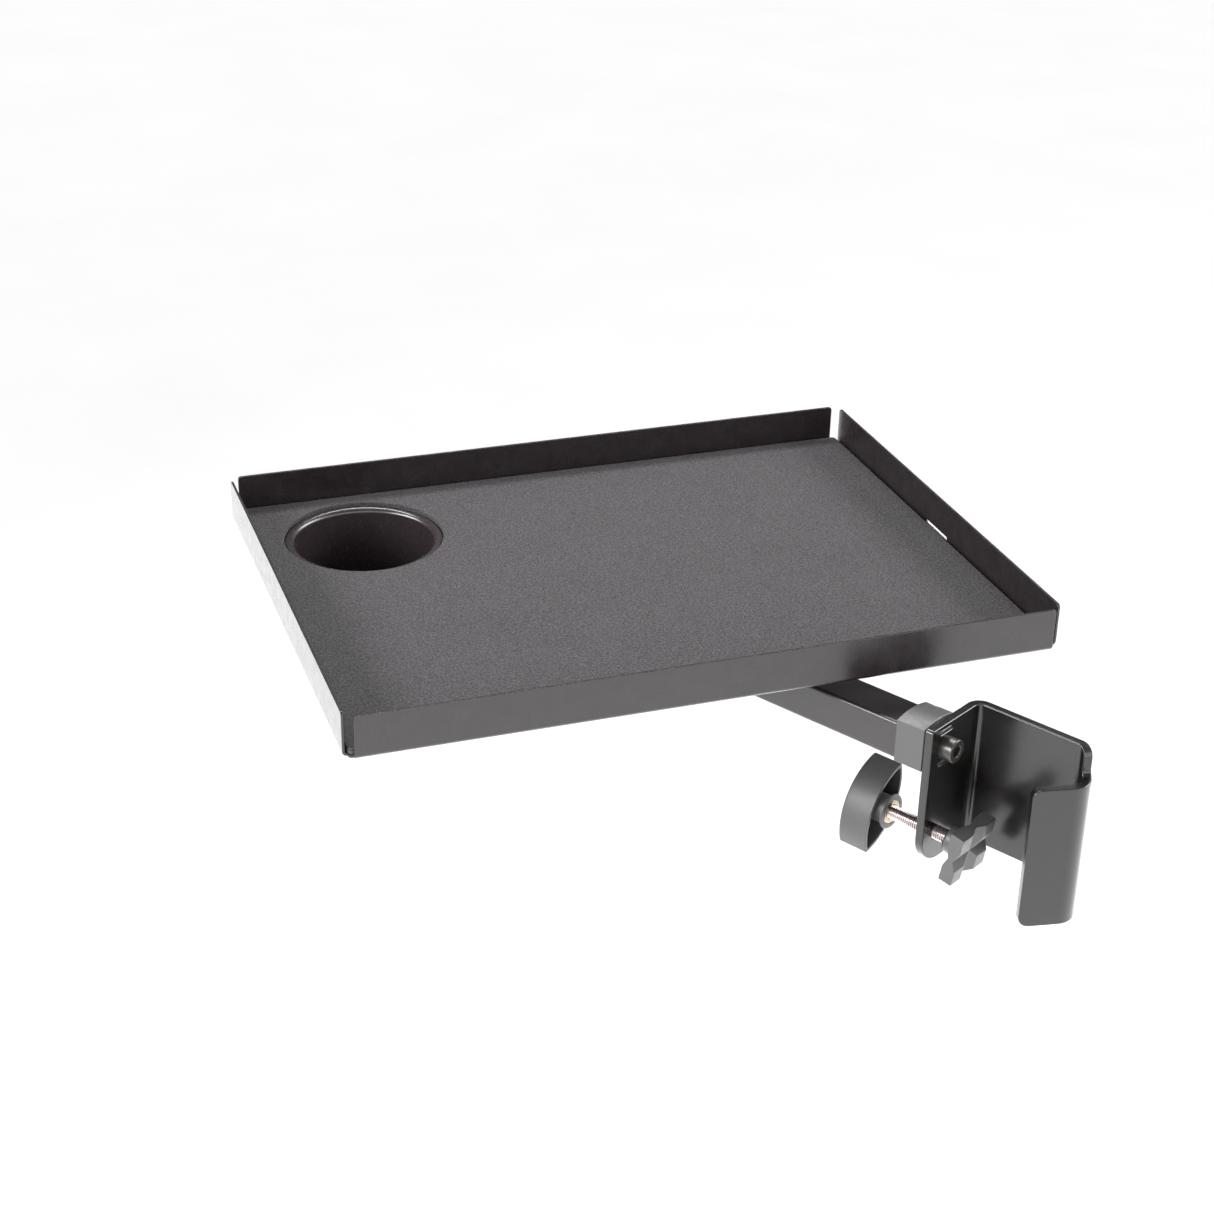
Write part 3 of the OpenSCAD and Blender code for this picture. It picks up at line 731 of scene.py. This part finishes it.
def bush(face, up):
    """Flanged bush against the tube's face, its sleeve running up or down into the tube."""
    flange, foot = face - up * FLANGE, face + up * BUSH_L
    pts = [
        (BUSH_BORE, flange, 0.3), (BUSH_FLANGE_R, flange, 0.3), (BUSH_FLANGE_R, face, 0.2),
        (BUSH_R, face, 0.2), (BUSH_R, foot, 0.4), (BUSH_BORE, foot, 0.2),
    ]
    return lathe(fillet(pts, 3), 72)


bushes = join(bush(ARM_TOP, -1), bush(FOOT, 1))
piece("flanged_bushes", bushes, ARM, "mount_arm", "nylon", ["pivot_bushes"])
plug_materials = frame["nodes"]["arm_end_plug"].data.materials
plug_materials.clear()
plug_materials.append(materials["raw_steel"])

COLLAR_START = ARM_L - 17.4
COLLAR_STEP_X = COLLAR_START + 8.3
COLLAR_STEP = 0.3
COLLAR_FIT = 0.05
BOLT_Z = ARM_MID + 0.3
BOLT_HOLE_R = 4.25


def collar_outline(step, shrink=0.0, n=24):
    """Collar in the YZ plane: flat foot and sides, and a crowned top that is raised by step."""
    half, low, foot_r = ARM_W / 2 + 0.6, FOOT - 1.1, 1.2
    shoulder, crown = ARM_TOP + 2.1 + step, 2.0
    side = shoulder - 1
    crown_r = (half * half + crown * crown) / (2 * crown)
    pts = fillet(
        [(-half, side, 0), (-half, low, foot_r), (half, low, foot_r), (half, side, 0)],
        4, closed=False,
    )
    reach = math.asin(half / crown_r)
    for k in range(n + 1):
        a = reach - 2 * reach * k / n
        rise = crown_r * (math.cos(a) - 1)
        pts.append(Vector((crown_r * math.sin(a), shoulder + crown + rise)))
    return inset(pts, shrink)


def collar():
    """Closed skin: outside, end face with the bolt's hole, and the pocket for the tube."""
    levels = edge_levels(ARM_L - COLLAR_START, 0.5)
    half = len(levels) // 2
    loops = [at_z(collar_outline(0, d), COLLAR_START + z) for d, z in levels[:half]]
    loops.append(at_z(collar_outline(0), COLLAR_STEP_X))
    loops.append(at_z(collar_outline(COLLAR_STEP), COLLAR_STEP_X + COLLAR_STEP / 2))
    loops += [at_z(collar_outline(COLLAR_STEP, d), COLLAR_START + z) for d, z in levels[half:]]

    def matched(shape):
        """Points on a shape round the bolt, in the same directions as the outline's points."""
        return [shape(math.atan2(p.y - BOLT_Z, p.x)) for p in collar_outline(0)]

    def hole(a):
        return Vector((BOLT_HOLE_R * math.cos(a), BOLT_Z + BOLT_HOLE_R * math.sin(a)))

    def pocket(a):
        w, h = ARM_W / 2 + COLLAR_FIT, ARM_H / 2 + COLLAR_FIT
        k = min(w / max(abs(math.cos(a)), 1e-6), h / max(abs(math.sin(a)), 1e-6))
        return Vector((k * math.cos(a), BOLT_Z + k * math.sin(a)))

    loops += [at_z(matched(hole), ARM_L), at_z(matched(hole), TUBE_END)]
    loops += [at_z(matched(pocket), TUBE_END), at_z(matched(pocket), COLLAR_START)]
    return loft(loops, closed=True)


def tab(y, z, w, h, x0, x1):
    """Small block along X with rounded edges."""
    loop = shift(box_loop(w, h, 0.5, 3), y, z)
    return loft([at_z(loop, x0), at_z(loop, x1 - 0.4), at_z(inset(loop, 0.4), x1)])


TAB_Y, TAB_UP, TAB_W, TAB_H = 1.0, 9.5, 10.6, 2.2
tabs = [
    tab(TAB_Y, BOLT_Z + s * TAB_UP, TAB_W, TAB_H, ARM_L - 0.5, ARM_L + 4.5) for s in (-1, 1)
]
piece(
    "arm_end_collar", along_x(join(collar(), *tabs)), ARM, "mount_arm", "collar_plastic",
    ["arm_collar"], sharp=25,
)

# ---------------------------------------------------------------- hook

PLATE_T, PLATE_IN = 5.0, ARM_L + 5.0
PLATE_FRONT, PLATE_TOP, PLATE_FOOT = -12.6, -6.4, -90.4
JAW_DROP = 16.2
SIDE_R, SIDE_Y = 3.5, 30.3
JAW_R, JAW_X = 7.5, PLATE_IN + 60.7
JAW_Y = SIDE_Y - JAW_R
JAW_TURN, STEP_TURN, JAW_L = math.radians(129.3), math.radians(40.7), 22.0
MID = PLATE_T / 2
RUN_1 = SIDE_Y - SIDE_R - PLATE_FRONT  # flat lengths along the plate, from its front edge
ARC_1 = (SIDE_R + MID) * math.pi / 2
RUN_2 = JAW_X - PLATE_IN - SIDE_R
ARC_2 = (JAW_R + MID) * JAW_TURN
S1, S2, S3 = RUN_1, RUN_1 + ARC_1, RUN_1 + ARC_1 + RUN_2
S4 = S3 + ARC_2
S_STEP = S3 + (JAW_R + MID) * STEP_TURN
S_END = S4 + JAW_L
# radii of the plate's corners
FRONT_FOOT_R, FRONT_TOP_R = 16.5, 2.0
STEP_IN_R, STEP_FOOT_R, STEP_TOP_R = 3.5, 6.0, 7.0
JAW_FOOT_R, JAW_TOP_R = 6.0, 4.0
THREAD_HOLE_R = 4.05
TAB_GAP = 0.2


def bend_hook(co):
    """Flat plate (along, up, out from the inner face) to the arm's frame."""
    s, z, w = co
    if s <= S1:
        return Vector((PLATE_IN - w, PLATE_FRONT + s, z))
    if s <= S2:
        a, r = (s - S1) / (SIDE_R + MID), SIDE_R + w
        return Vector((PLATE_IN + SIDE_R - r * math.cos(a), SIDE_Y - SIDE_R + r * math.sin(a), z))
    if s <= S3:
        return Vector((PLATE_IN + SIDE_R + s - S2, SIDE_Y + w, z))
    a = min((s - S3) / (JAW_R + MID), JAW_TURN)
    run, r = max(0.0, s - S4), JAW_R + w
    return Vector((
        JAW_X + r * math.sin(a) + run * math.cos(a), JAW_Y + r * math.cos(a) - run * math.sin(a), z,
    ))


def hook():
    """The plate with its holes, cut out flat and then bent."""
    low, top = PLATE_FOOT, PLATE_TOP
    outline = fillet(
        [
            (0, low, FRONT_FOOT_R), (S_STEP, low, STEP_IN_R), (S_STEP, low - JAW_DROP, STEP_FOOT_R),
            (S_END, low - JAW_DROP, JAW_FOOT_R), (S_END, top - JAW_DROP, JAW_TOP_R),
            (S_STEP, top - JAW_DROP, STEP_IN_R), (S_STEP, top, STEP_TOP_R), (0, top, FRONT_TOP_R),
        ],
        8,
    )
    bolt_s, tab_s = -PLATE_FRONT, -PLATE_FRONT + TAB_Y
    holes = [
        circle(BOLT_HOLE_R, 48, bolt_s, BOLT_Z)[::-1],
        circle(THREAD_HOLE_R, 48, bolt_s, SPINDLE_Z)[::-1],
    ]
    window = box_loop(TAB_W + 2 * TAB_GAP, TAB_H + 2 * TAB_GAP, 0.6, 3)
    for s in (-1, 1):
        holes.append(shift(window, tab_s, BOLT_Z + s * TAB_UP)[::-1])
    bm = slab([outline, *holes], PLATE_T, edge=0.7, steps=4)
    for first, length, count in ((S1, ARC_1, 12), (S3, ARC_2, 26)):
        for k in range(count + 1):
            cut(bm, 0, first + length * k / count)
    for v in bm.verts:
        v.co = bend_hook(v.co)
    return bm


piece("clamp_hook", hook(), ARM, "mount_arm", "powder_coat_hook", ["clamp_bracket"], sharp=50)


def cap_screw():
    """Socket head cap screw along Z, its seat at z = 0."""
    n = 72
    shank_r, shank_l, head_r, head_h, edge, socket = 4.0, 25.0, 6.5, 8.0, 0.8, 6.0
    loops = [
        at_z(circle(shank_r, n), -shank_l), at_z(circle(shank_r, n), 0.0),
        at_z(circle(head_r - 0.1, n), 0.0), at_z(circle(head_r, n), 0.15),
    ]
    for k in range(5):
        a = math.pi / 2 * k / 4
        r, z = head_r - edge * (1 - math.cos(a)), head_h - edge * (1 - math.sin(a))
        loops.append(at_z(circle(r, n), z))
    # the socket, from its lead-in to the drilled tip
    loops += [
        at_z(circle(3.75, n), head_h), at_z(circle(3.5, n), 7.85), at_z(hexagon(socket, n), 7.5),
        at_z(hexagon(socket, n), 3.6), at_z(circle(2.4, n), 3.5), at_z(circle(0.4, n), 2.6),
    ]
    return loft(loops)


BOLT_SEAT = ARM @ Matrix.Translation((PLATE_IN, 0, BOLT_Z)) @ LIE
piece("clamp_screw", cap_screw(), BOLT_SEAT, "mount_arm", "black_oxide", ["clamp_bolt"], sharp=32)

# ---------------------------------------------------------------- clamping screw

KNOB_RIM, KNOB_DEPTH = ARM_L - 28.9, 18.4
KNOB_BACK = KNOB_RIM - KNOB_DEPTH
KNOB_TURN = math.radians(58)
KNOB_N = 72  # points round the knob, as many as lens() makes
HUB_END = KNOB_RIM + 5.2
NUT_FOOT = HUB_END - 6.5
BORE_R = 4.05
BALL_X = PLATE_IN + 12.4
BALL_R, BALL_HALF = 5.0, 3.0
JOURNAL_R, JOURNAL_END = 2.5, BALL_X + 4.2
SHOULDER = BALL_X - BALL_HALF - 0.7


def lens(arc_r, centre, tip_r):
    """Lens of two arcs of radius arc_r about (0, -centre) and (0, centre), its tips rounded."""
    tip_x = math.sqrt((arc_r - tip_r) ** 2 - centre ** 2)
    lean = math.atan2(tip_x, centre)  # from Y to the line through the tip's centre
    quarter = [Vector((tip_x + tip_r * math.cos(a), tip_r * math.sin(a)))
               for a in [(math.pi / 2 - lean) * k / 4 for k in range(4)]]
    for k in range(15):
        a = lean * (1 - k / 14)
        quarter.append(Vector((arc_r * math.sin(a), arc_r * math.cos(a) - centre)))
    half = quarter + [Vector((-p.x, p.y)) for p in quarter[-2::-1]]
    return half + [Vector((p.x, -p.y)) for p in half[-2:0:-1]]


def knob():
    tip, half_l, half_w = 1.3, 26.0, 12.0
    reach = half_l - tip
    arc_r = (reach * reach + half_w * half_w - tip * tip) / (2 * (half_w - tip))
    centre = arc_r - half_w

    def outer(d):
        return lens(arc_r - d, centre, max(tip - d, 0.15))

    def inner(d):
        return lens(arc_r - d, centre, 0.5)

    back_r, wall, floor = 1.6, 2.0, 2.5
    bottom = KNOB_BACK + floor
    # outside, from the closed back to the rim
    loops = [at_z(outer(d), KNOB_BACK + z) for d, z in edge_levels(KNOB_DEPTH, back_r, 5)[:6]]
    loops += [
        at_z(outer(0), KNOB_RIM - 0.5), at_z(outer(0.15), KNOB_RIM - 0.15),
        at_z(outer(0.5), KNOB_RIM), at_z(inner(wall - 0.4), KNOB_RIM),
        at_z(inner(wall - 0.1), KNOB_RIM - 0.12), at_z(inner(wall), KNOB_RIM - 0.4),
    ]
    # inside, down to the floor
    for k in range(4):
        a = math.pi / 2 * k / 3
        loops.append(at_z(inner(wall + 1 - math.cos(a)), bottom + 1 - math.sin(a)))
    # the hub and its flange
    for r, z in ((9.0, bottom), (8.3, bottom + 0.3), (8.0, bottom + 1.0), (8.0, HUB_END - 2.2),
                 (8.2, HUB_END - 1.7), (9.6, HUB_END - 1.6), (10.0, HUB_END - 1.2),
                 (10.0, HUB_END - 0.4), (9.7, HUB_END - 0.1), (9.3, HUB_END)):
        loops.append(at_z(circle(r, KNOB_N), z))
    # the nut's pocket, turned by a twelfth, and the bore
    pocket = hexagon(M8_AF + 0.1, KNOB_N)
    twelfth = KNOB_N // 12
    turn = Matrix.Rotation(math.tau / 12, 2)
    pocket = [turn @ p for p in pocket[-twelfth:] + pocket[:-twelfth]]
    loops += [at_z(pocket, HUB_END), at_z(pocket, NUT_FOOT)]
    loops += [at_z(circle(BORE_R, KNOB_N), NUT_FOOT), at_z(circle(BORE_R, KNOB_N), KNOB_BACK + 3.0)]
    return loft(loops)


TURNED = SPINDLE @ Matrix.Rotation(KNOB_TURN, 4, "Z")
piece("wing_grip", knob(), TURNED, "screw", "knob_plastic", ["wing_knob"], sharp=30)


def hub_nut():
    start, top = math.radians(30), HUB_END + 0.3

    def bore(r, z):
        return at_z(circle(r, 72, start=start), z)

    loops = hex_body(M8_AF, NUT_FOOT, top, start=start)
    return loft(loops + [bore(4.6, top), bore(4.02, top - 0.6), bore(4.02, NUT_FOOT)], closed=True)


piece("hub_nut", hub_nut(), TURNED, "screw", "yellow_zinc", ["knob_nut"], sharp=25)

rod = thread(4.0, M8_PITCH, KNOB_BACK + 3.2, SHOULDER, 40, 0.7)
journal_profile = fillet(
    [
        (0, SHOULDER - 0.3, 0), (JOURNAL_R, SHOULDER - 0.3, 0), (JOURNAL_R, JOURNAL_END, 0.4),
        (0, JOURNAL_END, 0),
    ],
    3, closed=False,
)
spindle = join(rod, lathe(journal_profile, 48, closed=False))
piece("screw_spindle", spindle, SPINDLE, "screw", "zinc", ["spindle"], sharp=45, weighted=False)

RUN_R = JOURNAL_R + 0.05
washer_profile = fillet(
    [
        (RUN_R, SHOULDER, 0.1), (3.6, SHOULDER, 0.2), (3.6, BALL_X - BALL_HALF, 0.2),
        (RUN_R, BALL_X - BALL_HALF, 0.1),
    ],
    3,
)
piece("shoulder_washer", lathe(washer_profile, 48), SPINDLE, "screw_end", "zinc", ["pad_washer"])

ball_turns = [math.asin(BALL_HALF / BALL_R) * (k / 10 - 1) for k in range(21)]
ball = [(BALL_R * math.cos(a), BALL_X + BALL_R * math.sin(a)) for a in ball_turns]
ball = [(RUN_R, BALL_X - BALL_HALF), *ball, (RUN_R, BALL_X + BALL_HALF)]
piece("ball_bush", lathe(ball, 64), SPINDLE, "pad_bush", "nylon", ["pad_ball"])


def clip():
    """Open retaining ring round the journal, its gap down."""
    n, ring_r, gap = 40, 3.5, math.radians(24)
    turns = [gap + (math.tau - 2 * gap) * k / n for k in range(n + 1)]
    outer = [ring_r * Vector((math.cos(a), math.sin(a))) for a in turns]
    inner = [p * (JOURNAL_R / ring_r) for p in outer[::-1]]
    bm = slab([outer + inner], 0.7, edge=0.1, steps=2)
    at_ball = Matrix.Translation((0, 0, BALL_X + BALL_HALF))
    return move(bm, at_ball @ Matrix.Rotation(-math.pi / 2, 4, "Z"))


piece("retaining_clip", clip(), SPINDLE, "screw", "black_oxide", ["pad_clip"])

# ---------------------------------------------------------------- pressure pad

PAD, PAD_FACE, PAD_BACK = 31.0, 11.8, 3.7  # side, and how far face and back are from the ball
GROOVE_W, GROOVE_D, BACK_GROOVE_D = 12.4, 2.8, 2.0
PAD_TILT, PAD_ROLL = math.radians(10.4), math.radians(0.5)


def pad_body():
    """Square pad along Z with V-grooves crossing on its face and shallow ones on its back."""
    bm = bmesh.new()
    h, g = PAD / 2, GROOVE_W / 2
    steps = (-h, -g, 0.0, g, h)

    def depth(x, y, d):
        return max(d * max(0.0, 1 - abs(x) / g), d * max(0.0, 1 - abs(y) / g))

    grids = []
    for level, d, sign in ((PAD_FACE, GROOVE_D, -1), (PAD_BACK, BACK_GROOVE_D, 1)):
        grids.append([
            [bm.verts.new((x, y, level + sign * depth(x, y, d))) for y in steps] for x in steps
        ])
    for grid in grids:
        for i in range(4):
            for j in range(4):
                a, b, c, d = grid[i][j], grid[i + 1][j], grid[i + 1][j + 1], grid[i][j + 1]
                # where the grooves cross, the valley's line splits each square in two
                if i in (1, 2) and j in (1, 2):
                    if (i == 1) == (j == 1):
                        bm.faces.new((a, b, c))
                        bm.faces.new((a, c, d))
                    else:
                        bm.faces.new((a, b, d))
                        bm.faces.new((b, c, d))
                else:
                    bm.faces.new((a, b, c, d))
    front, back = grids
    rim = [(i, 0) for i in range(4)] + [(4, j) for j in range(4)]
    rim += [(i, 4) for i in range(4, 0, -1)] + [(0, j) for j in range(4, 0, -1)]
    for k in range(16):
        (i, j), (m, n) = rim[k], rim[(k + 1) % 16]
        bm.faces.new((front[i][j], front[m][n], back[m][n], back[i][j]))
    return bm


def pad_boss():
    """Round socket for the ball, behind the pad."""
    pts = [(4.6, -1.8, 0.1), (5.9, -3.8, 0.3), (7.0, -3.9, 0.5), (8.0, -2.6, 1.2), (8.0, 5.6, 0.1),
           (5.0, 5.6, 0.1), (4.95, 0.4, 0.1)]
    return lathe(fillet(pts, 4), 64)


PAD_FRAME = (
    ARM @ Matrix.Translation((BALL_X, 0, SPINDLE_Z)) @ Matrix.Rotation(PAD_TILT, 4, "Y")
    @ Matrix.Rotation(PAD_ROLL, 4, "X") @ LIE
)
piece(
    "grip_pad", pad_body(), PAD_FRAME, "pad", "pad_plastic", ["pressure_pad"], sharp=25,
    bevel=(0.45, 3, 12),
)
piece("grip_pad_socket", pad_boss(), PAD_FRAME, "pad", "pad_plastic", [])

# ---------------------------------------------------------------- floor, light and camera

FLOOR_Z = -0.75


def floor():
    pale = 0.92
    s = Surface("studio_floor", grey(pale), 0.9, specular=0.0)
    clouds = s.remap(s.noise(300, 2), 0.3, 0.7, 0, 1)
    s.color(s.mix(clouds, (*grey(pale * 0.99), 1), (*grey(pale * 1.01), 1)))
    bm = bmesh.new()
    bmesh.ops.create_grid(bm, x_segments=1, y_segments=1, size=30)
    mesh = bpy.data.meshes.new("studio_floor")
    bm.to_mesh(mesh)
    bm.free()
    mesh.materials.append(s.mat)
    obj = bpy.data.objects.new("studio_floor", mesh)
    bpy.context.scene.collection.objects.link(obj)
    obj.location = (0, 0, FLOOR_Z)


def softbox(name, azimuth, elevation, distance, size, radiance, spread=180):
    """Area light that faces the tray's middle. The camera doesn't see it, reflections do."""
    light = bpy.data.lights.new(name, "AREA")
    light.shape = "RECTANGLE"
    light.size, light.size_y = size
    light.spread = math.radians(spread)
    light.energy = radiance * math.pi * size[0] * size[1]
    obj = bpy.data.objects.new(name, light)
    bpy.context.scene.collection.objects.link(obj)
    a, e = math.radians(azimuth), math.radians(elevation)
    away = Vector((math.sin(a) * math.cos(e), -math.cos(a) * math.cos(e), math.sin(e)))
    obj.location = PIVOT + away * distance
    obj.rotation_euler = away.to_track_quat("Z", "Y").to_euler()
    obj.visible_camera = False


floor()
# azimuths run from the front towards the right
softbox("light_left", -90, 26, 1.7, (1.6, 0.5), 5.0, 80)
softbox("light_right", 90, 28, 1.7, (1.6, 0.5), 3.5, 80)
softbox("light_back", 180, 58, 1.7, (1.8, 0.35), 4.6, 80)
softbox("light_below", 0, -90, 0.72, (8.0, 8.0), 1.5)


def studio_world(low, high, back):
    """Soft light all round: brighter towards the horizon than overhead, and dim at the back."""
    world = bpy.data.worlds.new("studio")
    bpy.context.scene.world = world
    world.use_nodes = True
    nodes, links = world.node_tree.nodes, world.node_tree.links
    split = nodes.new("ShaderNodeSeparateXYZ")
    links.new(nodes.new("ShaderNodeTexCoord").outputs["Generated"], split.inputs["Vector"])

    def ramp(axis, start, end, first, last):
        n = nodes.new("ShaderNodeMapRange")
        n.interpolation_type = "SMOOTHSTEP"
        n.inputs["From Min"].default_value = start
        n.inputs["From Max"].default_value = end
        n.inputs["To Min"].default_value = first
        n.inputs["To Max"].default_value = last
        links.new(split.outputs[axis], n.inputs["Value"])
        return n.outputs["Result"]

    product = nodes.new("ShaderNodeMath")
    product.operation = "MULTIPLY"
    links.new(ramp("Z", 0.3, 0.7, low, high), product.inputs[0])
    links.new(ramp("Y", 0.2, 0.8, 1.0, back), product.inputs[1])
    links.new(product.outputs["Value"], nodes["Background"].inputs["Strength"])
    nodes["Background"].inputs["Color"].default_value = (1, 1, 1, 1)


studio_world(4.0, 0.5, 0.12)

# camera at the front left, looking down on the tray
camera = bpy.data.cameras.new("camera")
camera.lens, camera.sensor_width = 67.3186, 36.0
camera.clip_start, camera.clip_end = 0.05, 100.0
eye = bpy.data.objects.new("camera", camera)
bpy.context.scene.collection.objects.link(eye)
eye.location = (-0.559762, -0.861165, 0.645382)
eye.rotation_euler = (math.radians(62.538), math.radians(-1.0976), math.radians(-19.008))
bpy.context.scene.camera = eye
bpy.context.scene.view_settings.view_transform = "Standard"
